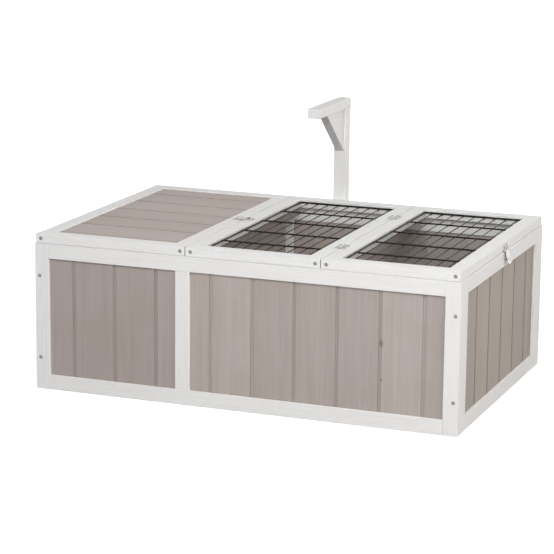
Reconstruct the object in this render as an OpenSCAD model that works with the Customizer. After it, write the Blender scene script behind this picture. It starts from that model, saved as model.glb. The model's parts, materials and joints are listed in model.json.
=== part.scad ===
// Low wooden hutch with three lids and a lamp bracket, in millimetres.
// +X runs to the right, +Y to the rear, +Z up. The origin lies on the ground, under the centre
// of the carcass. Walls are grooved frames with stub tenons, filled with tongue-and-groove boards.

/* [Carcass] */
// Width of the carcass, left to right
carcass_w = 915; // [700:1:1300]
// Depth of the carcass, front to rear
carcass_d = 610; // [420:1:900]
// Height of the carcass without its lids
carcass_h = 309.5; // [220:0.5:500]
// Face width of the frame members
frame_w = 31; // [24:1:45]
// Thickness of the frame members
frame_t = 20; // [17:1:28]
// Clear width of the left bay, between the corner stile and the mullion
left_bay = 284; // [200:1:420]
// Radius of the eased edges of all timber
edge_r = 1; // [0.5:0.1:2.5]

/* [Boards] */
// Thickness of the wall and lid boards
board_t = 10; // [8:0.5:12]
// Depth of the boards' face below the frame's outer face
board_recess = 5.5; // [3:0.5:6.5]
// Depth of the panel groove in the frame members
groove_d = 6; // [4:0.5:8]
// Width of the channel where two boards meet
channel_w = 6; // [2:0.5:8]
// Depth of the channel, down to the tongue
channel_d = 2.5; // [2:0.25:3]
// Chamfer on the boards' edges, each side of the channel
bevel = 0.8; // [0.3:0.1:1.5]
// Length of a board's tongue that its neighbour's groove holds
tongue_bite = 4; // [3:0.5:6]
// Thickness of a board's tongue
tongue_t = 3; // [2:0.5:3.5]
// Pitch of the boards in the left bay, the side walls and the left lid
board_w = 92; // [60:1:130]
// Pitch of the boards in the right bay
wide_bay_board_w = 90; // [60:1:130]
// Distance from the left bay's left edge to its first channel
left_bay_first = 55; // [30:1:90]
// Distance from the right bay's left edge to its first channel
right_bay_first = 45; // [30:1:90]
// Distance from a side wall's front edge to its first channel
side_first = 81; // [30:1:90]
// Distance from the left lid boards' front edge to their first channel
lid_first = 118; // [30:1:125]
// Gap between a tongue or board and its groove, on each side
fit = 0.2; // [0.1:0.05:0.4]
// Gap at the end of a tenon, tongue or board in its groove
slack = 0.5; // [0.3:0.1:1]

/* [Partition and floor] */
// Thickness of the floor boards
floor_t = 9; // [8:0.5:14]
// Height of the battens under the floor
batten_h = 12; // [8:1:18]
// Width of the battens under the floor
batten_w = 30; // [20:1:50]
// Number of battens under the floor
batten_n = 5; // [3:2:9]
// Section of the cleats that hold the partition
cleat = 20; // [14:1:28]
// Distance from the mullion's centre line to the partition's right face
partition_offset = 2.5; // [-6:0.5:12]
// Width of the doorway in the partition
door_w = 150; // [100:1:200]
// Height of the doorway above the floor
door_h = 180; // [120:1:190]
// Gap round the floor, partition and cleats
loose = 0.5; // [0.3:0.1:1]

/* [Lids] */
// Thickness of the lid frames
lid_t = 19; // [16:0.5:24]
// Gap between the lids and the carcass
lid_gap = 0.5; // [0.3:0.1:0.9]
// Distance that the lids stand back from the carcass's faces
lid_inset = 2; // [1:0.5:4]
// Gap between two lids
seam_gap = 2; // [1.5:0.5:4]
// Width of the boarded left lid
left_lid_w = 333; // [240:1:420]
// Width of the mesh right lid; the fixed middle lid takes what is left
right_lid_w = 286; // [220:1:360]
// Width of the lid frames' members
lid_member_w = 31; // [28:1:50]
// Depth of the left lid's boards below the top of its frame
lid_recess = 3; // [2:0.5:4]
// Depth of the mesh below the top of its frame
mesh_recess = 4.5; // [1.5:0.25:6]
// Diameter of the thin wires, front to rear
wire_d = 2; // [1.2:0.1:2.4]
// Diameter of the cross bars, left to right, and of the edge bars
bar_d = 3.5; // [2:0.1:4]
// Pitch of the thin wires
wire_pitch = 24; // [15:0.5:40]
// Pitch of the cross bars, counted from the rear edge bar
bar_pitch = 113.5; // [60:0.5:160]
// Depth that a bar and a wire are pressed together by their weld
weld = 0.4; // [0.2:0.1:0.6]
// Distance of the edge bars' centre lines from the frame's inner faces
mesh_edge = 2; // [1.5:0.1:4]

/* [Hinges] */
// Length of a hinge
hinge_l = 40; // [30:5:80]
// Width of one leaf, from the pin
leaf_w = 12; // [10:0.5:20]
// Thickness of a leaf
leaf_t = 1.2; // [1:0.1:1.6]
// Diameter of the knuckles
knuckle_d = 4; // [3.6:0.2:6]
// Diameter of the hinge pins
pin_d = 2; // [1.6:0.1:2.4]
// Number of knuckles in a hinge
knuckle_n = 5; // [3:2:7]
// Distance from the carcass's front to the middle of the front hinges
hinge_front_in = 130; // [80:1:180]
// Distance from the carcass's rear to the middle of the rear hinges
hinge_rear_in = 150; // [80:1:180]
// Diameter of the screw holes in the hinge and latch plates
plate_hole_d = 2.8; // [2:0.1:3.2]
// Radial clearance of a pin in a moving knuckle
pin_clear = 0.05; // [0.02:0.01:0.1]
// Gap between neighbouring knuckles
knuckle_gap = 0.3; // [0.2:0.1:0.5]

/* [Latches] */
// Length of a latch strap, from its pin
strap_l = 29; // [26:0.5:36]
// Width of a latch strap
strap_w = 22; // [20:0.5:30]
// Thickness of the latch plates
plate_t = 1.2; // [1:0.1:1.5]
// Distance from the strap's pin to the turn knob
knob_at = 20; // [18:0.5:22]
// Length of the turn knob's bar
knob_l = 10; // [8:0.5:12]
// Width of the turn knob's bar
knob_w = 4; // [3:0.5:4.5]
// Thickness of the turn knob's bar
knob_t = 2; // [1.5:0.5:3]
// Diameter of the turn knob's stem
stem_d = 3.2; // [2.6:0.1:3.6]
// Width of a latch's base plate
base_w = 30; // [26:1:40]
// Length of a latch's base plate, from its pin
base_l = 12; // [10:0.5:16]
// Angle at which the right latch's strap hangs off its keeper
ajar = 16; // [16:1:40]
// Distance of the latches behind the carcass's middle
latch_back = 10; // [-60:1:60]
// Radius of the corners of the hinge and latch plates
plate_r = 1.5; // [0.5:0.1:3]

/* [Lamp bracket] */
// Height of the lamp bracket above the ground
bracket_h = 555; // [480:1:700]
// Section of the post and width of the arm
post_w = 28; // [22:1:40]
// Distance of the post's centre from the carcass's middle, to the left
post_off = 11; // [-100:1:100]
// Reach of the arm in front of the rear wall
arm_reach = 170; // [120:1:220]
// Thickness of the arm
arm_t = 20.5; // [16:0.5:28]
// Reach of the brace along the arm
brace_run = 112; // [80:1:118]
// Reach of the brace down the post
brace_drop = 95; // [70:1:120]
// Thickness of the brace
brace_w = 19; // [14:1:22]

/* [Screws] */
// Diameter of the screws' shanks
screw_d = 4; // [3:0.1:4.5]
// Diameter of the screws' heads
head_d = 8; // [6:0.1:8.5]
// Depth of a head below the timber's face
head_sink = 0.6; // [0.2:0.1:1.5]
// Height of the lower corner screws
screw_low = 67.5; // [45:0.5:120]
// Height of the upper corner screws
screw_high = 241; // [150:0.5:260]
// Distance from a lid's corner to its screw
lid_screw_in = 10.5; // [8:0.5:16]
// Length that a screw runs into the second member
screw_bite = 19; // [15:1:22]
// Clearance round a screw
screw_fit = 0.1; // [0.05:0.01:0.2]

/* [Hidden] */
$fn = 32;
eps = 0.01;
over = 1;

white_paint = "WhiteSmoke";
board_stain = "RosyBrown";
steel = "Silver";
black_coat = "DimGray";
dark_steel = "SlateGray";

side_l = carcass_d - 2 * frame_t;
end_cut = 0.8 * edge_r;
groove_w = board_t + 2 * fit;
groove_y = board_recess - fit;
seat = groove_d - slack;
bay_h = carcass_h - 2 * frame_w;
mullion_x = frame_w + left_bay;
right_bay_x = mullion_x + frame_w;
right_bay_w = carcass_w - frame_w - right_bay_x;
tongue_l = channel_w + tongue_bite;
least_board = 24;

floor_top = batten_h + floor_t;
inside_w = carcass_w - 2 * frame_t;
partition_face = -carcass_w / 2 + mullion_x + frame_w / 2 - partition_offset;

lid_z = carcass_h + lid_gap;
lid_top = lid_z + lid_t;
lid_l = carcass_d - 2 * lid_inset;
left_lid_x = -carcass_w / 2 + lid_inset;
right_lid_x = carcass_w / 2 - lid_inset - right_lid_w;
middle_lid_x = left_lid_x + left_lid_w + seam_gap;
middle_lid_w = right_lid_x - seam_gap - middle_lid_x;
kerf_w = bar_d + 2 * fit;
kerf_top = lid_t - mesh_recess;
board_groove_top = lid_t - lid_recess + fit;

knuckle_r = knuckle_d / 2;
pin_lift = knuckle_r + knuckle_gap;
hinge_ys = [-carcass_d / 2 + hinge_front_in, carcass_d / 2 - hinge_rear_in];
left_pin_x = -carcass_w / 2 - pin_lift;
left_pin_z = carcass_h + lid_gap / 2;
right_pin_x = right_lid_x - seam_gap / 2;
right_pin_z = lid_top + pin_lift;
crank = 0.9;

hasp_pin_r = 1;
hasp_knuckle_r = 1.9;
hasp_lift = 2;
hasp_gap = 0.5;
hasp_ear_w = 8;
hasp_ear_t = 1.6;
hasp_end = hasp_knuckle_r + knuckle_gap;
strap_low = hasp_lift - plate_t / 2;
knob_low = strap_low + plate_t + hasp_gap;
slot_room_l = 2;
slot_room_w = 3;
slot_l = knob_l + slot_room_l;
slot_w = knob_w + slot_room_w;
keeper_l = 22;
keeper_w = 24;
hole_in = 3.5;
left_hasp_in = 7;
right_hasp_up = 2.5;
left_hasp_x = left_lid_x + left_lid_w - left_hasp_in;
right_hasp_z = lid_z + right_hasp_up;

post_x = -post_off;
post_top = bracket_h - arm_t;
post_screw_zs = [frame_w / 2, carcass_h - frame_w / 2];

// ---- Timber ----

// A rectangle from the origin with rounded corners.
module eased_rect(a, b, r = edge_r) {
    translate([r, 0]) square([a - 2 * r, b]);
    translate([0, r]) square([a, b - 2 * r]);
    for (x = [r, a - r], y = [r, b - r]) translate([x, y]) circle(r);
}

// Timber from the origin, running along one axis, with eased long edges.
module beam_z(x, y, z) { linear_extrude(z) eased_rect(x, y); }
module beam_x(x, y, z) { rotate([90, 0, 90]) beam_z(y, z, x); }
module beam_y(x, y, z) { translate([0, y, 0]) rotate([90, 0, 0]) beam_z(x, z, y); }

// The sliver that eases the edge of a member's end, along z through the origin.
module end_ease(length) {
    side = end_cut * sqrt(2);
    rotate([0, 0, 45]) translate([-side / 2, -side / 2, -over]) cube([side, side, length + 2 * over]);
}

// ---- Walls: x along the wall, y from its outer face inwards, z up ----

module at_front() { translate([-carcass_w / 2, -carcass_d / 2, 0]) children(); }
module at_rear() { mirror([0, 1, 0]) at_front() children(); }
module at_right() {
    translate([carcass_w / 2, -side_l / 2, 0]) rotate([0, 0, 90]) children();
}
module at_left() { mirror([1, 0, 0]) at_right() children(); }

// A full-height corner stile, grooved on its inner edge.
module stile() {
    difference() {
        beam_z(frame_w, frame_t, carcass_h);
        translate([frame_w - groove_d, groove_y, -over])
            cube([groove_d + over, groove_w, carcass_h + 2 * over]);
    }
}

module far_stile(wall_l) { translate([wall_l, 0, 0]) mirror([1, 0, 0]) stile(); }

// A bottom rail between two stiles, grooved on top, with a stub tenon at each end.
module bottom_rail(wall_l) {
    rail_l = wall_l - 2 * frame_w;
    translate([frame_w, 0, 0]) {
        difference() {
            beam_x(rail_l, frame_t, frame_w);
            translate([-over, groove_y, frame_w - groove_d])
                cube([rail_l + 2 * over, groove_w, groove_d + over]);
            for (x = [0, rail_l]) translate([x, 0, 0]) end_ease(frame_w);
        }
        for (x = [-seat, rail_l - eps]) translate([x, board_recess, 0])
            cube([seat + eps, board_t, frame_w - groove_d]);
    }
}

module top_rail(wall_l) { translate([0, 0, carcass_h]) mirror([0, 0, 1]) bottom_rail(wall_l); }

// The upright between the two bays, grooved on both edges and tenoned into the rails.
module mullion() {
    translate([mullion_x, 0, frame_w]) {
        difference() {
            beam_z(frame_w, frame_t, bay_h);
            for (x = [-over, frame_w - groove_d]) translate([x, groove_y, -over])
                cube([groove_d + over, groove_w, bay_h + 2 * over]);
            for (z = [0, bay_h]) translate([0, 0, z]) rotate([0, 90, 0]) end_ease(frame_w);
        }
        for (z = [-seat, bay_h - eps]) translate([groove_d, board_recess, z])
            cube([frame_w - 2 * groove_d, board_t, seat + eps]);
    }
}

// ---- Tongue-and-groove boards ----

// Where boards meet between two edges of a bay, by the first distance and the pitch.
function joints(from, to, first, pitch) =
    [for (x = from + first; x < to - least_board; x = x + pitch) x];

// Outline of one board from a to b: its face at y = 0, a groove on the left, a tongue on the
// right. The front lip of the groove stands back, so that the tongue shows in the channel.
function board_outline(a, b, t, has_groove, has_tongue) =
    let (
        back = channel_d + tongue_t,
        groove_end = a + tongue_l + slack,
        lip = a + channel_w
    )
    concat(
        has_groove
            ? [[a + fit + bevel, t], [a + fit, t - bevel], [a + fit, back + fit],
               [groove_end, back + fit],
               [groove_end, channel_d - fit], [lip, channel_d - fit], [lip, bevel],
               [lip + bevel, 0]]
            : [[a, t], [a, 0]],
        has_tongue
            ? [[b - bevel, 0], [b, bevel], [b, channel_d], [b + tongue_l, channel_d],
               [b + tongue_l, back], [b, back], [b, t - bevel], [b - bevel, t]]
            : [[b, 0], [b, t]]
    );

// A row of boards along x, each running the given length along z, their face at y = 0.
module board_row(from, to, meets, t, length) {
    edges = concat([from], [for (x = meets) x - channel_w / 2], [to]);
    last = len(edges) - 2;
    for (i = [0 : last]) linear_extrude(length)
        polygon(board_outline(edges[i], edges[i + 1], t, i > 0, i < last));
}

// The boards that fill one bay of a wall.
module bay_boards(from, width, first, pitch) {
    to = from + width;
    translate([0, board_recess, frame_w - seat])
        board_row(from - seat, to + seat, joints(from, to, first, pitch), board_t,
                  bay_h + 2 * seat);
}

module left_bay_boards() { bay_boards(frame_w, left_bay, left_bay_first, board_w); }
module right_bay_boards() {
    bay_boards(right_bay_x, right_bay_w, right_bay_first, wide_bay_board_w);
}
module side_wall_boards() { bay_boards(frame_w, side_l - 2 * frame_w, side_first, board_w); }

// ---- Screws: each points along +Z with its head at the origin ----

module screw(shank, grow = 0) {
    head_h = (head_d - screw_d) / 2;
    translate([0, 0, head_sink]) {
        cylinder(r1 = head_d / 2 + grow, r2 = screw_d / 2 + grow, h = head_h);
        translate([0, 0, head_h - eps]) cylinder(r = screw_d / 2 + grow, h = shank - head_h + grow);
    }
    if (grow > 0) translate([0, 0, -over]) cylinder(r = head_d / 2 + grow, h = head_sink + over + eps);
}

module corner_screws(grow = 0) {
    for (mx = [0, 1], my = [0, 1], z = [screw_low, screw_high])
        mirror([mx, 0, 0]) mirror([0, my, 0])
            translate([carcass_w / 2 - frame_t / 2, -carcass_d / 2, z])
                rotate([-90, 0, 0]) screw(frame_t + screw_bite, grow);
}

module bracket_screws(grow = 0) {
    for (z = post_screw_zs) translate([post_x, carcass_d / 2 + post_w, z])
        rotate([90, 0, 0]) screw(post_w + frame_t - board_recess, grow);
    for (y = [post_w / 4, post_w * 3 / 4]) translate([post_x, carcass_d / 2 + y, bracket_h])
        rotate([180, 0, 0]) screw(arm_t + screw_bite, grow);
}

module lid_screws(lid_x, lid_w, grow = 0) {
    for (my = [0, 1], x = [lid_screw_in, lid_w - lid_screw_in]) mirror([0, my, 0])
        translate([lid_x + x, -lid_l / 2, lid_z + lid_t / 2])
            rotate([-90, 0, 0]) screw(lid_member_w + screw_bite, grow);
}

// ---- Carcass members ----

module drilled_corner() {
    difference() {
        children();
        corner_screws(screw_fit);
    }
}

module drilled_rear() {
    difference() {
        children();
        bracket_screws(screw_fit);
    }
}

module front_left_stile() { color(white_paint) drilled_corner() at_front() stile(); }
module front_right_stile() { color(white_paint) drilled_corner() at_front() far_stile(carcass_w); }
module front_mullion() { color(white_paint) at_front() mullion(); }
module front_top_rail() { color(white_paint) at_front() top_rail(carcass_w); }
module front_bottom_rail() { color(white_paint) at_front() bottom_rail(carcass_w); }
module front_left_boards() { color(board_stain) at_front() left_bay_boards(); }
module front_right_boards() { color(board_stain) at_front() right_bay_boards(); }

module rear_left_stile() { color(white_paint) drilled_corner() at_rear() stile(); }
module rear_right_stile() { color(white_paint) drilled_corner() at_rear() far_stile(carcass_w); }
module rear_mullion() { color(white_paint) at_rear() mullion(); }
module rear_top_rail() { color(white_paint) drilled_rear() at_rear() top_rail(carcass_w); }
module rear_bottom_rail() { color(white_paint) drilled_rear() at_rear() bottom_rail(carcass_w); }
module rear_left_boards() { color(board_stain) at_rear() left_bay_boards(); }
module rear_right_boards() { color(board_stain) at_rear() right_bay_boards(); }

module left_front_stile() { color(white_paint) drilled_corner() at_left() stile(); }
module left_rear_stile() { color(white_paint) drilled_corner() at_left() far_stile(side_l); }
module left_top_rail() { color(white_paint) at_left() top_rail(side_l); }
module left_bottom_rail() { color(white_paint) at_left() bottom_rail(side_l); }
module left_boards() { color(board_stain) at_left() side_wall_boards(); }

module right_front_stile() { color(white_paint) drilled_corner() at_right() stile(); }
module right_rear_stile() { color(white_paint) drilled_corner() at_right() far_stile(side_l); }
module right_top_rail() { color(white_paint) at_right() top_rail(side_l); }
module right_bottom_rail() { color(white_paint) at_right() bottom_rail(side_l); }
module right_boards() { color(board_stain) at_right() side_wall_boards(); }

// ---- Partition and floor ----

// The wall between the two compartments, one plywood panel with an arched doorway.
module partition_boards() {
    half = side_l / 2 - loose;
    height = carcass_h - loose - floor_top;
    color(board_stain) difference() {
        translate([partition_face - board_t, -half, floor_top]) cube([board_t, 2 * half, height]);
        translate([partition_face - board_t - over, 0, floor_top]) {
            translate([0, -door_w / 2, -over])
                cube([board_t + 2 * over, door_w, door_h - door_w / 2 + over]);
            translate([0, 0, door_h - door_w / 2]) rotate([0, 90, 0])
                cylinder(d = door_w, h = board_t + 2 * over);
        }
    }
}

// The upright cleats that fix the partition to the front and rear walls.
module partition_cleats() {
    color(board_stain) for (my = [0, 1]) mirror([0, my, 0])
        translate([partition_face - board_t - cleat, -side_l / 2, floor_top])
            beam_z(cleat, cleat, carcass_h - loose - floor_top);
}

module floor_boards() {
    half = side_l / 2 - loose;
    color(board_stain) translate([-inside_w / 2 + loose, 0, floor_top]) mirror([0, 0, 1])
        rotate([90, 0, 90])
            board_row(-half, half, joints(-half, half, board_w, board_w), floor_t,
                      inside_w - 2 * loose);
}

module floor_battens() {
    pitch = (inside_w - batten_w - 2 * loose) / (batten_n - 1);
    color(board_stain) for (i = [0 : batten_n - 1])
        translate([(i - (batten_n - 1) / 2) * pitch - batten_w / 2, -side_l / 2 + loose, 0])
            beam_y(batten_w, side_l - 2 * loose, batten_h);
}

// ---- Lamp bracket ----

module lamp_post() {
    color(white_paint) drilled_rear()
        translate([post_x - post_w / 2, carcass_d / 2, 0]) beam_z(post_w, post_w, post_top);
}

module lamp_arm() {
    color(white_paint) drilled_rear()
        translate([post_x - post_w / 2, carcass_d / 2 - arm_reach, post_top])
            beam_y(post_w, arm_reach + post_w, arm_t);
}

// A triangular brace, standing against the post and under the arm.
module lamp_brace() {
    color(white_paint) translate([post_x - brace_w / 2, carcass_d / 2, post_top])
        rotate([90, 0, 90]) linear_extrude(brace_w)
            polygon([[0, -brace_drop], [0, 0], [-brace_run, 0]]);
}

// ---- Lids: x and y along the frame, z up from its underside ----

module at_lid(lid_x) { translate([lid_x, -lid_l / 2, lid_z]) children(); }

// The front rail of a lid, grooved on its inner edge.
module lid_rail(lid_w, groove_top, groove_h) {
    difference() {
        beam_x(lid_w, lid_member_w, lid_t);
        translate([-over, lid_member_w - groove_d, groove_top - groove_h])
            cube([lid_w + 2 * over, groove_d + over, groove_h]);
    }
}

module far_lid_rail(lid_w, groove_top, groove_h) {
    translate([0, lid_l, 0]) mirror([0, 1, 0]) lid_rail(lid_w, groove_top, groove_h);
}

// The left stile of a lid, grooved on its inner edge and tenoned into both rails.
module lid_stile(groove_top, groove_h) {
    stile_l = lid_l - 2 * lid_member_w;
    translate([0, lid_member_w, 0]) {
        difference() {
            beam_y(lid_member_w, stile_l, lid_t);
            translate([lid_member_w - groove_d, -over, groove_top - groove_h])
                cube([groove_d + over, stile_l + 2 * over, groove_h]);
            for (y = [0, stile_l]) translate([0, y, lid_t]) rotate([0, 90, 0])
                end_ease(lid_member_w);
        }
        for (y = [-seat, stile_l - eps]) translate([0, y, groove_top - groove_h + fit])
            cube([lid_member_w - groove_d, seat + eps, groove_h - 2 * fit]);
    }
}

module far_lid_stile(lid_w, groove_top, groove_h) {
    translate([lid_w, 0, 0]) mirror([1, 0, 0]) lid_stile(groove_top, groove_h);
}

// A lid's member, placed and drilled for the screws of its own lid.
module lid_member(lid_x, lid_w) {
    color(white_paint) difference() {
        at_lid(lid_x) children();
        lid_screws(lid_x, lid_w, screw_fit);
    }
}

module left_member() { lid_member(left_lid_x, left_lid_w) children(); }
module middle_member() { lid_member(middle_lid_x, middle_lid_w) children(); }
module right_member() { lid_member(right_lid_x, right_lid_w) children(); }

module left_lid_front_rail() { left_member() lid_rail(left_lid_w, board_groove_top, groove_w); }
module left_lid_rear_rail() { left_member() far_lid_rail(left_lid_w, board_groove_top, groove_w); }
module left_lid_left_stile() { left_member() lid_stile(board_groove_top, groove_w); }
module left_lid_right_stile() {
    left_member() far_lid_stile(left_lid_w, board_groove_top, groove_w);
}

module left_lid_boards() {
    from = lid_member_w;
    to = lid_l - lid_member_w;
    color(board_stain) at_lid(left_lid_x)
        translate([lid_member_w - seat, 0, lid_t - lid_recess]) mirror([0, 0, 1])
            rotate([90, 0, 90])
                board_row(from - seat, to + seat, joints(from, to, lid_first, board_w), board_t,
                          left_lid_w - 2 * lid_member_w + 2 * seat);
}

module middle_lid_front_rail() { middle_member() lid_rail(middle_lid_w, kerf_top, kerf_w); }
module middle_lid_rear_rail() { middle_member() far_lid_rail(middle_lid_w, kerf_top, kerf_w); }
module middle_lid_left_stile() { middle_member() lid_stile(kerf_top, kerf_w); }
module middle_lid_right_stile() {
    middle_member() far_lid_stile(middle_lid_w, kerf_top, kerf_w);
}

module right_lid_front_rail() { right_member() lid_rail(right_lid_w, kerf_top, kerf_w); }
module right_lid_rear_rail() { right_member() far_lid_rail(right_lid_w, kerf_top, kerf_w); }
module right_lid_left_stile() { right_member() lid_stile(kerf_top, kerf_w); }
module right_lid_right_stile() {
    right_member() far_lid_stile(right_lid_w, kerf_top, kerf_w);
}

// Welded mesh: an edge bar all round and cross bars, their ends seated in the frame's kerf,
// and thin wires welded under them.
module mesh(lid_w) {
    open_w = lid_w - 2 * lid_member_w;
    open_l = lid_l - 2 * lid_member_w;
    wire_n = floor(open_w / wire_pitch);
    wire_xs = [for (i = [0 : wire_n - 1]) open_w / 2 + (i - (wire_n - 1) / 2) * wire_pitch];
    edge_xs = [mesh_edge, open_w - mesh_edge];
    rear_y = open_l - mesh_edge;
    bar_ys = concat([mesh_edge], [for (y = rear_y; y > mesh_edge + bar_d; y = y - bar_pitch) y]);
    bar_z = kerf_top - fit - bar_d / 2;
    wire_z = bar_z - (bar_d + wire_d) / 2 + weld;
    color(black_coat) translate([lid_member_w, lid_member_w, 0]) {
        for (x = wire_xs) translate([x, open_l - slack, wire_z]) rotate([90, 0, 0])
            cylinder(d = wire_d, h = open_l - 2 * slack);
        for (x = edge_xs) translate([x, open_l + seat, bar_z]) rotate([90, 0, 0])
            cylinder(d = bar_d, h = open_l + 2 * seat);
        for (y = bar_ys) translate([-seat, y, bar_z]) rotate([0, 90, 0])
            cylinder(d = bar_d, h = open_w + 2 * seat);
    }
}

module middle_lid_mesh() { at_lid(middle_lid_x) mesh(middle_lid_w); }
module right_lid_mesh() { at_lid(right_lid_x) mesh(right_lid_w); }

// ---- Hinges: the pin runs along y through the origin, the leaf lies towards +x ----

module knuckles(odd, length, count, gap, radius, bore) {
    step = length / count;
    for (i = [odd : 2 : count - 1]) translate([0, -length / 2 + i * step + gap / 2, 0])
        rotate([-90, 0, 0]) difference() {
            cylinder(r = radius, h = step - gap);
            translate([0, 0, -over]) cylinder(r = bore, h = step - gap + 2 * over);
        }
}

// Tabs that carry the knuckles of one leaf, as boxes from low to high in x and z.
module tabs(odd, length, count, gap, low, high, bore) {
    step = length / count;
    difference() {
        for (i = [odd : 2 : count - 1])
            translate([low[0], -length / 2 + i * step + gap / 2, low[1]])
                cube([high[0] - low[0], step - gap, high[1] - low[1]]);
        translate([0, -length, 0]) rotate([-90, 0, 0]) cylinder(r = bore, h = 2 * length);
    }
}

// The flat part of a leaf, from x = start, its underside a given distance below the pin.
module leaf_plate(start, drop) {
    hole_x = (start + leaf_w) / 2;
    translate([0, 0, -drop]) difference() {
        translate([start, -hinge_l / 2, 0])
            linear_extrude(leaf_t) eased_rect(leaf_w - start, hinge_l, plate_r);
        for (y = [-hinge_l / 4, hinge_l / 4]) translate([hole_x, y, -over])
            cylinder(d = plate_hole_d, h = leaf_t + 2 * over);
    }
}

// A flat leaf, screwed to a face that lies pin_lift below the pin.
module flat_leaf(odd) {
    bore = pin_d / 2 + pin_clear;
    leaf_plate(pin_lift, pin_lift);
    tabs(odd, hinge_l, knuckle_n, knuckle_gap, [0, -pin_lift],
         [pin_lift + plate_r, leaf_t - pin_lift], bore);
    knuckles(odd, hinge_l, knuckle_n, knuckle_gap, knuckle_r, bore);
}

// A cranked leaf, for the lid's edge, which stands back from the carcass.
module cranked_leaf(odd) {
    bore = pin_d / 2 + pin_clear;
    drop = pin_lift + lid_inset;
    leaf_plate(crank, drop);
    tabs(odd, hinge_l, knuckle_n, knuckle_gap, [crank, -drop], [crank + leaf_t, 0], bore);
    knuckles(odd, hinge_l, knuckle_n, knuckle_gap, knuckle_r, bore);
}

module pin() {
    translate([0, -hinge_l / 2, 0]) rotate([-90, 0, 0]) cylinder(d = pin_d, h = hinge_l);
}

module at_left_hinges() {
    for (y = hinge_ys) translate([left_pin_x, y, left_pin_z]) children();
}
module at_right_hinges() {
    for (y = hinge_ys) translate([right_pin_x, y, right_pin_z]) children();
}

// The leaves on the carcass and on the fixed middle lid.
module hinge_fixed_leaves() {
    color(steel) {
        at_left_hinges() rotate([0, 90, 0]) mirror([0, 0, 1]) flat_leaf(0);
        at_right_hinges() mirror([1, 0, 0]) flat_leaf(0);
    }
}

module hinge_pins() {
    color(steel) {
        at_left_hinges() pin();
        at_right_hinges() pin();
    }
}

module left_hinge_leaves() {
    color(steel) at_left_hinges() rotate([0, -90, 0]) cranked_leaf(1);
}

module right_hinge_leaves() { color(steel) at_right_hinges() flat_leaf(1); }

// ---- Latches: the strap's pin runs along y above the origin, the keeper lies towards +x ----

module at_left_hasp() { translate([left_hasp_x, latch_back, lid_top]) children(); }
module at_right_hasp() {
    translate([carcass_w / 2, latch_back, right_hasp_z]) rotate([0, 90, 0]) children();
}

// The base plate, its face lying a step below the keeper's, with two knuckles and the pin.
module hasp_base(step) {
    color(steel) {
        translate([0, 0, -step]) difference() {
            translate([-base_l, -base_w / 2, 0])
                linear_extrude(plate_t) eased_rect(base_l - hasp_end, base_w, plate_r);
            for (y = [-base_w / 4, base_w / 4]) translate([-(base_l + hasp_end) / 2, y, -over])
                cylinder(d = plate_hole_d, h = plate_t + 2 * over);
        }
        for (my = [0, 1]) mirror([0, my, 0]) {
            translate([-hasp_end - plate_r, base_w / 2 - hasp_ear_w, -step])
                cube([hasp_ear_t + plate_r, hasp_ear_w, plate_t]);
            translate([-hasp_end, base_w / 2 - hasp_ear_w, -step])
                cube([hasp_ear_t, hasp_ear_w, hasp_lift + step]);
            translate([0, base_w / 2 - hasp_ear_w, hasp_lift]) rotate([-90, 0, 0])
                cylinder(r = hasp_knuckle_r, h = hasp_ear_w);
        }
        translate([0, -base_w / 2, hasp_lift]) rotate([-90, 0, 0])
            cylinder(r = hasp_pin_r, h = base_w);
    }
}

// The slotted strap, turned up about its pin by the given angle.
module hasp_strap(angle) {
    middle = base_w - 2 * hasp_ear_w - 2 * knuckle_gap;
    tip_r = strap_w / 4;
    flat_l = strap_l - tip_r;
    color(steel) translate([0, 0, hasp_lift]) rotate([0, -angle, 0]) difference() {
        union() {
            translate([0, -middle / 2, 0]) rotate([-90, 0, 0])
                cylinder(r = hasp_knuckle_r, h = middle);
            translate([0, -middle / 2, -plate_t / 2]) cube([hasp_end + over, middle, plate_t]);
            translate([hasp_end, -strap_w / 2, -plate_t / 2])
                cube([flat_l - hasp_end, strap_w, plate_t]);
            for (y = [-tip_r, tip_r]) translate([flat_l, y, -plate_t / 2])
                cylinder(r = tip_r, h = plate_t);
            translate([flat_l - eps, -tip_r, -plate_t / 2]) cube([tip_r + eps, 2 * tip_r, plate_t]);
        }
        translate([0, -base_w / 2, 0]) rotate([-90, 0, 0])
            cylinder(r = hasp_pin_r + pin_clear, h = base_w);
        translate([knob_at - slot_w / 2, -slot_l / 2, -plate_t]) cube([slot_w, slot_l, 2 * plate_t]);
    }
}

// The turn knob: a stem and a bar that lines up with the strap's slot.
module hasp_knob() {
    color(dark_steel) translate([knob_at, 0, 0]) {
        translate([0, 0, fit]) cylinder(d = stem_d, h = knob_low - fit + eps);
        translate([0, 0, knob_low]) {
            translate([-knob_w / 2, -(knob_l - knob_w) / 2, 0])
                cube([knob_w, knob_l - knob_w, knob_t]);
            for (y = [-1, 1]) translate([0, y * (knob_l - knob_w) / 2, 0])
                cylinder(d = knob_w, h = knob_t);
        }
    }
}

// The plate that holds the knob's stem, with a screw hole near each corner.
module hasp_keeper() {
    translate([knob_at, 0, 0]) difference() {
        translate([-keeper_l / 2, -keeper_w / 2, 0])
            linear_extrude(plate_t) eased_rect(keeper_l, keeper_w, plate_r);
        translate([0, 0, -over]) cylinder(d = stem_d + 2 * pin_clear, h = plate_t + 2 * over);
        for (x = [-1, 1], y = [-1, 1])
            translate([x * (keeper_l / 2 - hole_in), y * (keeper_w / 2 - hole_in), -over])
                cylinder(d = plate_hole_d, h = plate_t + 2 * over);
    }
}

module hasp_keepers() {
    color(steel) {
        at_left_hasp() hasp_keeper();
        at_right_hasp() hasp_keeper();
    }
}

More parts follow.
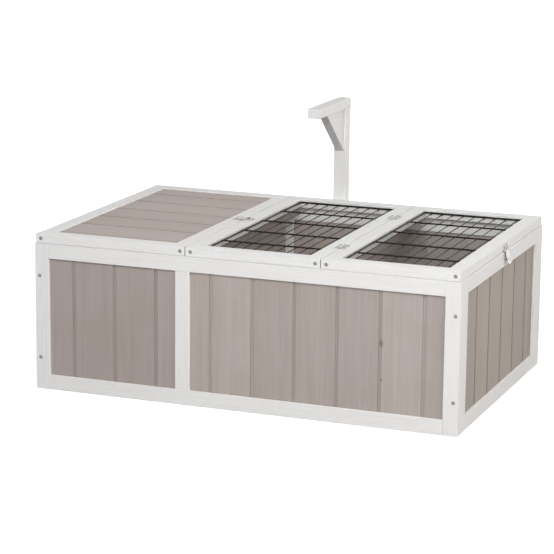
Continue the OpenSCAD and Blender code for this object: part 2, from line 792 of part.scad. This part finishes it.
module left_hasp_base() { at_left_hasp() hasp_base(0); }
module left_hasp_strap() { at_left_hasp() hasp_strap(0); }
module left_hasp_knob() { at_left_hasp() hasp_knob(); }
module right_hasp_base() { at_right_hasp() hasp_base(lid_inset); }
module right_hasp_strap() { at_right_hasp() hasp_strap(ajar); }
module right_hasp_knob() { at_right_hasp() hasp_knob(); }

// ---- Fasteners ----

// The screws of the corners, the lamp bracket and the fixed middle lid.
module carcass_screws() {
    color(dark_steel) {
        corner_screws();
        bracket_screws();
        lid_screws(middle_lid_x, middle_lid_w);
    }
}

module left_lid_screws() { color(dark_steel) lid_screws(left_lid_x, left_lid_w); }
module right_lid_screws() { color(dark_steel) lid_screws(right_lid_x, right_lid_w); }

front_left_stile();
front_right_stile();
front_mullion();
front_top_rail();
front_bottom_rail();
front_left_boards();
front_right_boards();
rear_left_stile();
rear_right_stile();
rear_mullion();
rear_top_rail();
rear_bottom_rail();
rear_left_boards();
rear_right_boards();
left_front_stile();
left_rear_stile();
left_top_rail();
left_bottom_rail();
left_boards();
right_front_stile();
right_rear_stile();
right_top_rail();
right_bottom_rail();
right_boards();
partition_boards();
partition_cleats();
floor_boards();
floor_battens();
lamp_post();
lamp_arm();
lamp_brace();
left_lid_front_rail();
left_lid_rear_rail();
left_lid_left_stile();
left_lid_right_stile();
left_lid_boards();
middle_lid_front_rail();
middle_lid_rear_rail();
middle_lid_left_stile();
middle_lid_right_stile();
middle_lid_mesh();
right_lid_front_rail();
right_lid_rear_rail();
right_lid_left_stile();
right_lid_right_stile();
right_lid_mesh();
hinge_fixed_leaves();
hinge_pins();
left_hinge_leaves();
right_hinge_leaves();
hasp_keepers();
left_hasp_base();
left_hasp_strap();
left_hasp_knob();
right_hasp_base();
right_hasp_strap();
right_hasp_knob();
carcass_screws();
left_lid_screws();
right_lid_screws();
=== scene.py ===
import json
import math

import bmesh
import bpy
from mathutils import Matrix, Vector


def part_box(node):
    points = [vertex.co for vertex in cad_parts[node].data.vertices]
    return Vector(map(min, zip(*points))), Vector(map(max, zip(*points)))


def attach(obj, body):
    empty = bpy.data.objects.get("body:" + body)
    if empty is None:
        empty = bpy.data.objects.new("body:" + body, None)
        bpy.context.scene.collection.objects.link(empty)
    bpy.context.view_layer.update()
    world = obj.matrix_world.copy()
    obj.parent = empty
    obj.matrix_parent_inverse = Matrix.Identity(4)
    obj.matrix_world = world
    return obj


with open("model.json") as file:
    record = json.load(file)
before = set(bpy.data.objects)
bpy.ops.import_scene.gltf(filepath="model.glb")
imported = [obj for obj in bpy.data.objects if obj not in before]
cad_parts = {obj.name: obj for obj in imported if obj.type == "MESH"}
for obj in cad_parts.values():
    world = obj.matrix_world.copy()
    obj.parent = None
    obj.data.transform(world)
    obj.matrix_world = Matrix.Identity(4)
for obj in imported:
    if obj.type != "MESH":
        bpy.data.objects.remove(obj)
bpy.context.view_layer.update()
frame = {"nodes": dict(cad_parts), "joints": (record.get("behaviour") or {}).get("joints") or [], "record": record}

MM = 0.001
nodes = frame["nodes"]
joints = {joint["name"]: joint for joint in frame["joints"]}

# Board sizes that the materials line up with, in metres.
BOARD_PITCH = 92 * MM
WIDE_BAY_PITCH = 90 * MM
CHANNEL_DEPTH = 2.5 * MM


# ---- Node helpers ----

class Shader:
    """A Principled material whose pattern is fixed to the object's own coordinates."""

    def __init__(self, name):
        self.material = bpy.data.materials.new(name)
        self.material.use_nodes = True
        self.tree = self.material.node_tree
        self.bsdf = self.tree.nodes["Principled BSDF"]
        self.coords = self.tree.nodes.new("ShaderNodeTexCoord").outputs["Object"]

    def link(self, source, target):
        self.tree.links.new(source, target)
        return target

    def node(self, kind, **settings):
        made = self.tree.nodes.new(kind)
        for key, value in settings.items():
            setattr(made, key, value)
        return made

    def feed(self, socket, value):
        if isinstance(value, bpy.types.NodeSocket):
            self.link(value, socket)
        else:
            socket.default_value = value

    def math(self, operation, a, b=0.0, c=0.0):
        made = self.node("ShaderNodeMath", operation=operation)
        for socket, value in zip(made.inputs, (a, b, c)):
            self.feed(socket, value)
        return made.outputs[0]

    def stretched(self, scale, shift=None):
        """The object's coordinates, scaled along each axis and moved by a vector or a number."""
        mapping = self.node("ShaderNodeMapping")
        mapping.inputs["Scale"].default_value = scale
        self.link(self.coords, mapping.inputs["Vector"])
        if shift is None:
            return mapping.outputs[0]
        moved = self.node("ShaderNodeVectorMath", operation="ADD")
        self.link(mapping.outputs[0], moved.inputs[0])
        self.link(shift, moved.inputs[1])
        return moved.outputs[0]

    def noise(self, vector, scale, detail=3.0, roughness=0.55, distortion=0.0):
        made = self.node("ShaderNodeTexNoise")
        self.link(vector, made.inputs["Vector"])
        made.inputs["Scale"].default_value = scale
        made.inputs["Detail"].default_value = detail
        made.inputs["Roughness"].default_value = roughness
        made.inputs["Distortion"].default_value = distortion
        return made.outputs["Fac"]

    def ramp(self, factor, stops):
        """Colours or greys along a factor, from a list of (place, colour or grey)."""
        made = self.node("ShaderNodeValToRGB")
        elements = made.color_ramp.elements
        while len(elements) < len(stops):
            elements.new(0.5)
        for element, (place, tone) in zip(elements, stops):
            element.position = place
            element.color = (tone, tone, tone, 1) if isinstance(tone, (int, float)) else (*tone, 1)
        self.link(factor, made.inputs["Fac"])
        return made.outputs["Color"]

    def mix(self, factor, a, b, blend="MIX"):
        made = self.node("ShaderNodeMix", data_type="RGBA", blend_type=blend)
        self.feed(made.inputs[0], factor)
        for socket, value in ((made.inputs[6], a), (made.inputs[7], b)):
            self.feed(socket, (*value, 1) if isinstance(value, tuple) else value)
        return made.outputs[2]

    def axis(self, name):
        split = self.node("ShaderNodeSeparateXYZ")
        self.link(self.coords, split.inputs[0])
        return split.outputs[name]

    def bump(self, height, strength, distance):
        made = self.node("ShaderNodeBump")
        made.inputs["Strength"].default_value = strength
        made.inputs["Distance"].default_value = distance
        self.link(height, made.inputs["Height"])
        self.link(made.outputs[0], self.bsdf.inputs["Normal"])

    def set(self, **values):
        for key, value in values.items():
            self.feed(self.bsdf.inputs[key.replace("_", " ")], value)


# How far the figure and the pores are drawn out along the grain: less is longer.
GRAIN_STRETCH = 0.04
PORE_STRETCH = 0.012


def grain_scale(along, stretch=GRAIN_STRETCH):
    """Scale that draws a pattern out along one axis."""
    return tuple(stretch if name == along else 1.0 for name in "XYZ")


def painted_timber(along):
    """White paint on softwood: brush streaks, raised grain and a few thin, greyer places."""
    s = Shader("white_paint_" + along.lower())
    lengthwise = s.stretched(grain_scale(along))
    streaks = s.noise(lengthwise, 240, 4, 0.6)
    broad = s.noise(s.coords, 6, 2)
    fibres = s.noise(lengthwise, 900, 3, 0.7)
    paint = s.ramp(streaks, [
        (0.28, (0.690, 0.685, 0.680)),
        (0.48, (0.735, 0.733, 0.732)),
        (0.75, (0.760, 0.760, 0.762)),
    ])
    warm = s.mix(s.ramp(broad, [(0.40, 0.0), (0.62, 0.45)]), paint, (0.735, 0.722, 0.712))
    thin = s.mix(s.ramp(fibres, [(0.30, 0.30), (0.42, 0.0)]), warm, (0.590, 0.575, 0.560))
    s.set(Base_Color=thin, Roughness=s.ramp(streaks, [(0.3, 0.76), (0.8, 0.64)]))
    s.bsdf.inputs["Specular IOR Level"].default_value = 0.25
    s.bump(s.math("ADD", streaks, s.math("MULTIPLY", fibres, 0.5)), 0.3, 0.0006)
    return s.material


# Weight of a distance along the grain in a knot: under 1, it is longer than wide.
KNOT_SQUASH = 0.55
# Seed of the boards' tones, and how far apart in the grain pattern two boards are cut.
BOARD_SEED = 37.5
BOARD_SPREAD = 9.0


def knot_mask(s, along, across, knots):
    """1 at the heart of a knot, falling to 0 at its rim: (place across, place along, radius) each."""
    ragged = s.math("MULTIPLY_ADD", s.noise(s.coords, 260, 2), 0.8, 0.6)
    nearest = 0.0
    for place_across, place_along, radius in knots:
        aside = s.math("SUBTRACT", s.axis(across), place_across)
        lengthwise = s.math("MULTIPLY", s.math("SUBTRACT", s.axis(along), place_along), KNOT_SQUASH)
        square = s.math("ADD", s.math("POWER", s.math("ABSOLUTE", aside), 2.0),
                        s.math("POWER", s.math("ABSOLUTE", lengthwise), 2.0))
        distance = s.math("MULTIPLY", s.math("SQRT", square), ragged)
        inside = s.math("SUBTRACT", 1.0, s.math("DIVIDE", distance, radius))
        nearest = s.math("MAXIMUM", nearest, inside)
    return s.ramp(nearest, [(0.0, 0.0), (0.35, 0.22), (0.55, 0.75), (0.80, 1.0)])


def stained_boards(name, along, across, first, pitch, tint=(1, 1, 1), knots=(), depth=None):
    """Grey-brown stain on boards: each has its own tone and figure, with streaks, pores and any knots, and painted
    shade on the walls of the channels between them.

    depth takes the shader and gives the distance below the boards' face, in metres; the painted shade in the
    channels follows it.
    """
    s = Shader("stained_" + name)
    index = s.math("FLOOR", s.math("DIVIDE", s.math("SUBTRACT", s.axis(across), first), pitch))
    seed = s.node("ShaderNodeTexWhiteNoise", noise_dimensions="1D")
    s.link(s.math("ADD", index, BOARD_SEED + first), seed.inputs["W"])
    spread = s.node("ShaderNodeVectorMath", operation="SCALE")
    s.link(seed.outputs["Color"], spread.inputs[0])
    spread.inputs["Scale"].default_value = BOARD_SPREAD
    lengthwise = s.stretched(grain_scale(along), spread.outputs[0])
    wander = s.noise(lengthwise, 16, 2, 0.5)
    clouds = s.noise(s.coords, 11, 3, 0.5)
    figure = s.noise(lengthwise, 70, 3, 0.5, 0.4)
    pores = s.noise(s.stretched(grain_scale(along, PORE_STRETCH), spread.outputs[0]), 520, 2, 0.6)
    tone = s.ramp(figure, [
        (0.30, (0.356, 0.314, 0.290)),
        (0.48, (0.384, 0.340, 0.316)),
        (0.70, (0.403, 0.359, 0.335)),
    ])
    pink = s.mix(s.ramp(wander, [(0.35, 0.0), (0.65, 0.5)]), tone, (0.392, 0.341, 0.333))
    olive = s.mix(s.ramp(clouds, [(0.50, 0.0), (0.68, 0.45)]), pink, (0.352, 0.316, 0.274))
    streaked = s.mix(s.ramp(pores, [(0.34, 0.20), (0.48, 0.0)]), olive, (0.270, 0.235, 0.212))
    board_tone = s.ramp(seed.outputs["Value"], [
        (0.0, (0.925, 0.920, 0.930)),
        (0.5, (1.0, 0.995, 0.985)),
        (1.0, (1.06, 1.055, 1.06)),
    ])
    toned = s.mix(1.0, s.mix(1.0, streaked, board_tone, "MULTIPLY"), tint, "MULTIPLY")
    if depth is not None:
        # Painted shade: the walls of each channel are darkened where shade falls in them.
        below = s.math("DIVIDE", depth(s), CHANNEL_DEPTH)
        shade = s.ramp(below, [(0.02, 0.0), (0.12, 0.38), (0.86, 0.48), (0.97, 0.05)])
        toned = s.mix(shade, toned, (0.150, 0.122, 0.092))
    if knots:
        toned = s.mix(knot_mask(s, along, across, knots), toned, (0.200, 0.166, 0.142))
    s.set(Base_Color=toned, Roughness=s.ramp(pores, [(0.3, 0.84), (0.7, 0.68)]))
    s.bump(s.math("ADD", pores, s.math("MULTIPLY", figure, 0.6)), 0.35, 0.0007)
    return s.material


def coated_wire():
    s = Shader("coated_wire")
    runs = s.noise(s.coords, 300, 3)
    s.set(
        Base_Color=s.ramp(runs, [(0.3, (0.008, 0.007, 0.006)), (0.7, (0.016, 0.014, 0.012))]),
        Roughness=s.ramp(runs, [(0.3, 0.62), (0.7, 0.48)]),
    )
    s.bsdf.inputs["Specular IOR Level"].default_value = 0.15
    s.bump(runs, 0.2, 0.0003)
    return s.material


def zinc_steel(name, light, dark):
    s = Shader(name)
    scratches = s.noise(s.stretched((1.0, 0.05, 1.0)), 1400, 3, 0.7)
    bloom = s.noise(s.coords, 160, 2)
    worn = s.mix(s.ramp(bloom, [(0.35, 0.0), (0.7, 0.6)]), light, dark)
    s.set(
        Base_Color=s.mix(s.ramp(scratches, [(0.4, 0.35), (0.6, 0.0)]), worn, dark),
        Roughness=s.ramp(bloom, [(0.3, 0.52), (0.7, 0.66)]),
    )
    s.bsdf.inputs["Metallic"].default_value = 0.85
    s.bump(scratches, 0.12, 0.0002)
    return s.material


# ---- Materials on the CAD nodes ----

PAINT = {axis: painted_timber(axis) for axis in "XYZ"}
WIRE = coated_wire()
ZINC = zinc_steel("zinc_steel", (0.50, 0.495, 0.48), (0.33, 0.325, 0.315))
# A darker zinc for the turn knobs: painted shade of the gap each knob sits in beside its strap.
SHADED_KNOB_ZINC = zinc_steel("shaded_knob_zinc", (0.26, 0.255, 0.245), (0.15, 0.147, 0.14))
DARK_STEEL = zinc_steel("dark_screws", (0.32, 0.315, 0.31), (0.17, 0.167, 0.163))

SEAT = 5.5 * MM
CHANNEL_HALF = 3 * MM

# Tints that make some groups of boards a little darker, and one group darker and yellower.
EVEN = (1.0, 1.0, 1.0)
DARK_TINT = (0.91, 0.90, 0.91)
OLIVE_TINT = (0.85, 0.85, 0.80)

# Grain axis, axis across the boards, first channel and pitch, inset of the box, outward face, tint.
BOARD_LAYOUTS = {
    "front_left_boards": ("Z", "X", 55 * MM, BOARD_PITCH, SEAT, "-Y", DARK_TINT),
    "rear_left_boards": ("Z", "X", 55 * MM, BOARD_PITCH, SEAT, "+Y", EVEN),
    "front_right_boards": ("Z", "X", 45 * MM, WIDE_BAY_PITCH, SEAT, "-Y", EVEN),
    "rear_right_boards": ("Z", "X", 45 * MM, WIDE_BAY_PITCH, SEAT, "+Y", EVEN),
    "left_boards": ("Z", "Y", 81 * MM, BOARD_PITCH, SEAT, "-X", DARK_TINT),
    "right_boards": ("Z", "Y", 81 * MM, BOARD_PITCH, SEAT, "+X", OLIVE_TINT),
    "left_lid_boards": ("X", "Y", 118 * MM, BOARD_PITCH, SEAT, "+Z", EVEN),
    "floor_boards": ("X", "Y", 92 * MM, BOARD_PITCH, 0, "+Z", EVEN),
}

# Places of the knots, across and along the boards, and their radii, in metres.
KNOTS = {
    "front_right_boards": ((0.2955, 0.170, 0.007), (0.298, 0.097, 0.003)),
    "rear_right_boards": ((0.052, 0.215, 0.007), (0.290, 0.120, 0.005)),
    "rear_left_boards": ((-0.330, 0.095, 0.006),),
    "left_boards": ((-0.060, 0.175, 0.006),),
    "right_boards": ((0.120, 0.090, 0.004),),
    "left_lid_boards": ((0.205, -0.250, 0.005),),
    "floor_boards": ((0.050, 0.260, 0.009), (-0.180, -0.020, 0.007)),
}


def board_material(node):
    """The stain for one group of boards, with painted shade in the channels where the boards meet."""
    along, across, first, pitch, inset, face, tint = BOARD_LAYOUTS[node]
    low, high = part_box(node)
    start = low["XYZ".index(across)] + inset + first + CHANNEL_HALF
    side, axis = face
    place = (low if side == "-" else high)["XYZ".index(axis)]

    def depth(s):
        ends = (s.axis(axis), place) if side == "-" else (place, s.axis(axis))
        return s.math("SUBTRACT", *ends)

    return stained_boards(node, along, across, start, pitch, tint, KNOTS.get(node, ()), depth)


def longest_axis(node):
    low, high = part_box(node)
    size = high - low
    return "XYZ"[max(range(3), key=lambda i: size[i])]


def dress(node, material):
    mesh = nodes[node].data
    mesh.materials.clear()
    mesh.materials.append(material)
    for face in mesh.polygons:
        face.material_index = 0


slot_of = {part["node"]: part["material_slot"] for part in frame["record"]["subparts"]}
# One sheet of plywood: a board so wide that the whole panel is a single one.
SHEET_START = -1.0
SHEET_PITCH = 2.0
BATTEN_STAIN = stained_boards("battens", "Y", "X", 0.0, BOARD_PITCH)
CLEAT_STAIN = stained_boards("cleats", "Z", "Y", 0.0, BOARD_PITCH)
PANEL_STAIN = stained_boards("panel", "Z", "Y", SHEET_START, SHEET_PITCH)
SLOT_MATERIALS = {"coated_wire": WIRE, "dark_screws": DARK_STEEL, "zinc_steel": ZINC}
# The turn knobs take the darker zinc as painted shade.
SHADED_KNOBS = {"left_hasp_knob", "right_hasp_knob"}
for node, slot in slot_of.items():
    if node in BOARD_LAYOUTS:
        dress(node, board_material(node))
    elif slot == "white_paint":
        dress(node, PAINT[longest_axis(node)])
    elif node in SHADED_KNOBS:
        dress(node, SHADED_KNOB_ZINC)
    elif slot in SLOT_MATERIALS:
        dress(node, SLOT_MATERIALS[slot])
    elif node == "floor_battens":
        dress(node, BATTEN_STAIN)
    elif node == "partition_boards":
        dress(node, PANEL_STAIN)
    else:
        dress(node, CLEAT_STAIN)


# ---- Screws ----

def as_object(name, made):
    mesh = bpy.data.meshes.new(name)
    made.to_mesh(mesh)
    made.free()
    piece = bpy.data.objects.new(name, mesh)
    bpy.context.scene.collection.objects.link(piece)
    return piece


HEAD_SIDES = 28
DOME_RINGS = 3
DOME_SWEEP = math.radians(50)
# The cross as shares of the head's radius and height, and of its own width at the bottom.
CROSS_REACH = 0.52
CROSS_HALF_WIDTH = 0.13
CROSS_DEPTH = 0.8
CROSS_TAPER = 0.75


def cross_head_mesh(radius, rise, foot, name):
    """A closed screw head, domed to rise above z = 0 and reaching foot below it, with a sunk cross."""
    angles = [DOME_SWEEP * step / DOME_RINGS for step in range(DOME_RINGS + 1)]
    profile = [(radius, -foot)] + [
        (radius * math.cos(angle), rise * math.sin(angle) / math.sin(DOME_SWEEP)) for angle in angles
    ]
    made = bmesh.new()
    rings = [
        [
            made.verts.new((
                ring_radius * math.cos(step * math.tau / HEAD_SIDES),
                ring_radius * math.sin(step * math.tau / HEAD_SIDES),
                height,
            ))
            for step in range(HEAD_SIDES)
        ]
        for ring_radius, height in profile
    ]
    arm = CROSS_REACH * radius
    half = CROSS_HALF_WIDTH * radius
    quarter = [Vector((arm, -half, 0)), Vector((arm, half, 0)), Vector((half, half, 0))]
    quarters = [Matrix.Rotation(turn * math.pi / 2, 3, "Z") for turn in range(4)]
    cross = [rotation @ point for rotation in quarters for point in quarter]
    sunk = CROSS_DEPTH * (rise + foot)
    rim = [made.verts.new((point.x, point.y, rise)) for point in cross]
    well = [made.verts.new((point.x * CROSS_TAPER, point.y * CROSS_TAPER, rise - sunk)) for point in cross]
    for lower, upper in list(zip(rings, rings[1:])) + [(well, rim)]:
        for step in range(len(lower)):
            after = (step + 1) % len(lower)
            made.faces.new((lower[step], lower[after], upper[after], upper[step]))
    made.faces.new(rings[0])
    made.faces.new(well)
    crown = [edge for edge in made.edges if len(edge.link_faces) == 1]
    bmesh.ops.triangle_fill(made, use_beauty=True, edges=crown)
    bmesh.ops.recalc_face_normals(made, faces=made.faces)
    mesh = bpy.data.meshes.new(name)
    made.to_mesh(mesh)
    made.free()
    return mesh


def set_heads(name, pattern, places, body):
    """One piece holding a copy of a head at each (place, outward, turn)."""
    made = bmesh.new()
    for place, outward, turn in places:
        copy = pattern.copy()
        facing = Vector(outward).to_track_quat("Z", "Y").to_matrix().to_4x4()
        copy.transform(Matrix.Translation(place) @ facing @ Matrix.Rotation(turn, 4, "Z"))
        made.from_mesh(copy)
        bpy.data.meshes.remove(copy)
    piece = as_object(name, made)
    piece.data.materials.append(DARK_STEEL)
    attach(piece, body)
    return piece


# Points closer than the first are one point, and points within the second lie on a screw's end.
SAME_POINT = 1e-6
SAME_LEVEL = 1e-5


def screw_ends(node):
    """Where each screw of a node ends in its head, and which way the head faces."""
    made = bmesh.new()
    made.from_mesh(nodes[node].data)
    bmesh.ops.remove_doubles(made, verts=made.verts, dist=SAME_POINT)
    ends = []
    left = set(made.verts)
    while left:
        island = [left.pop()]
        for vert in island:
            for edge in vert.link_edges:
                other = edge.other_vert(vert)
                if other in left:
                    left.discard(other)
                    island.append(other)
        points = [v.co.copy() for v in island]
        low = Vector([min(p[i] for p in points) for i in range(3)])
        high = Vector([max(p[i] for p in points) for i in range(3)])
        axis = max(range(3), key=lambda i: high[i] - low[i])
        middle = (low + high) / 2
        widest = {}
        for side, level in ((-1, low[axis]), (1, high[axis])):
            widest[side] = max(
                (p - middle).length for p in points if abs(p[axis] - level) < SAME_LEVEL
            )
        side = max(widest, key=widest.get)
        outward = Vector([side if i == axis else 0 for i in range(3)])
        place = middle.copy()
        place[axis] = (low if side < 0 else high)[axis]
        ends.append((place, outward))
    made.free()
    return sorted(ends, key=lambda end: tuple(round(c, 5) for c in end[0]))


WOOD_HEAD = cross_head_mesh(3.85 * MM, 0.45 * MM, 0.05 * MM, "wood_head")
PLATE_HEAD = cross_head_mesh(2.5 * MM, 1.1 * MM, 0.10 * MM, "plate_head")
FLUSH_HEAD = cross_head_mesh(1.34 * MM, 0.06 * MM, 0.60 * MM, "flush_head")
TURN = math.radians(37)

for node, body in (
    ("carcass_screws", "carcass"),
    ("left_lid_screws", "left_lid"),
    ("right_lid_screws", "right_lid"),
):
    heads = [(place, outward, i * TURN) for i, (place, outward) in enumerate(screw_ends(node))]
    set_heads(node + "_heads", WOOD_HEAD, heads, body)

# Plate sizes that the small screws line up with, in metres.
HINGE_HALF = 20 * MM
HINGE_HOLE_Y = 10 * MM
FLAT_LEAF_HOLE = 7.15 * MM
CRANKED_LEAF_HOLE = 6.45 * MM
HASP_BASE_HOLE = (7.1 * MM, 7.5 * MM)
KEEPER_HOLE = (7.5 * MM, 8.5 * MM)
KNOB_AT = 20 * MM

pin_low, pin_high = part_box("hinge_pins")
left_axis = Vector(joints["left_lid_hinge"]["pos_m"])
right_axis = Vector(joints["right_lid_hinge"]["pos_m"])
LEAF_T = 1.2 * MM
lid_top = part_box("middle_lid_front_rail")[1].z
plate_top = lid_top + LEAF_T
carcass_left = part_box("left_front_stile")[0].x
carcass_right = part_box("right_front_stile")[1].x
lid_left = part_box("left_lid_left_stile")[0].x
lid_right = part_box("right_lid_right_stile")[1].x

hinge_screws = {"carcass": [], "left_lid": [], "right_lid": []}
for hinge_y in (pin_low.y + HINGE_HALF, pin_high.y - HINGE_HALF):
    for y in (hinge_y - HINGE_HOLE_Y, hinge_y + HINGE_HOLE_Y):
        hinge_screws["carcass"] += [
            ((carcass_left - LEAF_T, y, left_axis.z - FLAT_LEAF_HOLE), (-1, 0, 0)),
            ((right_axis.x - FLAT_LEAF_HOLE, y, plate_top), (0, 0, 1)),
        ]
        cranked_hole = (lid_left - LEAF_T, y, left_axis.z + CRANKED_LEAF_HOLE)
        hinge_screws["left_lid"].append((cranked_hole, (-1, 0, 0)))
        hinge_screws["right_lid"].append(((right_axis.x + FLAT_LEAF_HOLE, y, plate_top), (0, 0, 1)))

left_hasp = Vector(joints["left_strap_hinge"]["pos_m"])
right_hasp = Vector(joints["right_strap_hinge"]["pos_m"])
for side in (-1, 1):
    y = left_hasp.y + side * HASP_BASE_HOLE[1]
    hinge_screws["left_lid"].append(((left_hasp.x - HASP_BASE_HOLE[0], y, plate_top), (0, 0, 1)))
    base_hole = (lid_right + LEAF_T, y, right_hasp.z + HASP_BASE_HOLE[0])
    hinge_screws["right_lid"].append((base_hole, (1, 0, 0)))
for body, screws in hinge_screws.items():
    heads = [(Vector(place), outward, i * TURN) for i, (place, outward) in enumerate(screws)]
    set_heads(body + "_plate_screws", PLATE_HEAD, heads, body)

# Each screw stopped at its own angle, which here is worked out from its place on the plate.
keeper_screws = []
for along in (-KEEPER_HOLE[0], KEEPER_HOLE[0]):
    for across in (-KEEPER_HOLE[1], KEEPER_HOLE[1]):
        y = left_hasp.y + across
        top_place = Vector((left_hasp.x + KNOB_AT + along, y, plate_top))
        side_place = Vector((carcass_right + LEAF_T, y, right_hasp.z - KNOB_AT - along))
        keeper_screws.append((top_place, (0, 0, 1), along / MM))
        keeper_screws.append((side_place, (1, 0, 0), across / MM))
set_heads("keeper_screws", FLUSH_HEAD, keeper_screws, "carcass")


# ---- Camera, lights, floor ----

CAMERA_YAW = math.radians(21.10)
CAMERA_PITCH = math.radians(12.73)
CAMERA_ROLL = math.radians(0.58)
CAMERA_PLACE = (1.65763, -4.3985, 1.27705)
CAMERA_LENS = 147.63

camera = bpy.data.objects.new("camera", bpy.data.cameras.new("camera"))
camera.data.lens = CAMERA_LENS
camera.data.sensor_width = 36
camera.data.clip_end = 60
camera.matrix_world = (
    Matrix.Translation(CAMERA_PLACE)
    @ Matrix.Rotation(CAMERA_YAW, 4, "Z")
    @ Matrix.Rotation(math.pi / 2 - CAMERA_PITCH, 4, "X")
    @ Matrix.Rotation(CAMERA_ROLL, 4, "Z")
)
bpy.context.scene.collection.objects.link(camera)
bpy.context.scene.camera = camera


def area_light(name, place, target, size, watts, colour=(1, 1, 1)):
    """A soft lamp, hidden from the camera."""
    lamp = bpy.data.lights.new(name, "AREA")
    lamp.shape = "RECTANGLE"
    lamp.size, lamp.size_y = size
    lamp.energy = watts
    lamp.color = colour
    holder = bpy.data.objects.new(name, lamp)
    holder.location = place
    holder.visible_camera = False
    holder.rotation_euler = (Vector(target) - Vector(place)).to_track_quat("-Z", "Y").to_euler()
    bpy.context.scene.collection.objects.link(holder)
    return holder


AIM = (0, 0, 0.2)
WARM = (1.0, 0.962, 0.92)
area_light("key", (0.8, -2.7, 2.4), AIM, (1.7, 1.3), 67)
area_light("front", (0.3, -3.3, 1.35), AIM, (1.8, 1.0), 25)
area_light("right", (2.9, -1.1, 1.6), AIM, (2.2, 1.6), 56, WARM)
area_light("top", (-0.4, 0.4, 3.2), AIM, (2.4, 2.0), 19)
area_light("rear", (0.6, 3.2, 0.6), AIM, (2.6, 1.0), 60)
area_light("left", (-3.2, 0.6, 0.6), AIM, (2.2, 1.0), 58)


def seen_or_mirrored(tree):
    """1 where the camera looks straight on, in a mirror or through glass, else 0."""
    path = tree.nodes.new("ShaderNodeLightPath")
    total = path.outputs["Is Camera Ray"]
    for name in ("Is Glossy Ray", "Is Transmission Ray"):
        either = tree.nodes.new("ShaderNodeMath")
        either.operation = "MAXIMUM"
        tree.links.new(total, either.inputs[0])
        tree.links.new(path.outputs[name], either.inputs[1])
        total = either.outputs[0]
    return total


world = bpy.data.worlds.new("studio")
bpy.context.scene.world = world
world.use_nodes = True
background = world.node_tree.nodes["Background"]
background.inputs["Color"].default_value = (1, 1, 1, 1)
strength = world.node_tree.nodes.new("ShaderNodeMapRange")
world.node_tree.links.new(seen_or_mirrored(world.node_tree), strength.inputs["Value"])
strength.inputs["To Min"].default_value = 0.08
strength.inputs["To Max"].default_value = 1.0
world.node_tree.links.new(strength.outputs[0], background.inputs["Strength"])


FLOOR_HALF = 30


def floor():
    """A pale floor that reads as white to the camera and keeps the object's soft shadow."""
    mesh = bpy.data.meshes.new("floor")
    half = FLOOR_HALF
    corners = [(-half, -half, 0), (half, -half, 0), (half, half, 0), (-half, half, 0)]
    mesh.from_pydata(corners, [], [(0, 1, 2, 3)])
    plane = bpy.data.objects.new("floor", mesh)
    bpy.context.scene.collection.objects.link(plane)
    material = bpy.data.materials.new("floor")
    material.use_nodes = True
    tree = material.node_tree
    bsdf = tree.nodes["Principled BSDF"]
    bsdf.inputs["Base Color"].default_value = (0.42, 0.42, 0.42, 1)
    bsdf.inputs["Roughness"].default_value = 0.9
    bsdf.inputs["Emission Color"].default_value = (1, 1, 1, 1)
    coords = tree.nodes.new("ShaderNodeTexCoord")
    length = tree.nodes.new("ShaderNodeVectorMath")
    length.operation = "LENGTH"
    tree.links.new(coords.outputs["Object"], length.inputs[0])
    away = tree.nodes.new("ShaderNodeMapRange")
    for key, value in (("From Min", 0.4), ("From Max", 2.6), ("To Min", 0.66), ("To Max", 0.96)):
        away.inputs[key].default_value = value
    tree.links.new(length.outputs["Value"], away.inputs["Value"])
    lift = tree.nodes.new("ShaderNodeMath")
    lift.operation = "MULTIPLY"
    tree.links.new(away.outputs[0], lift.inputs[1])
    tree.links.new(seen_or_mirrored(tree), lift.inputs[0])
    tree.links.new(lift.outputs[0], bsdf.inputs["Emission Strength"])
    mesh.materials.append(material)


floor()

scene = bpy.context.scene
scene.view_settings.view_transform = "Standard"
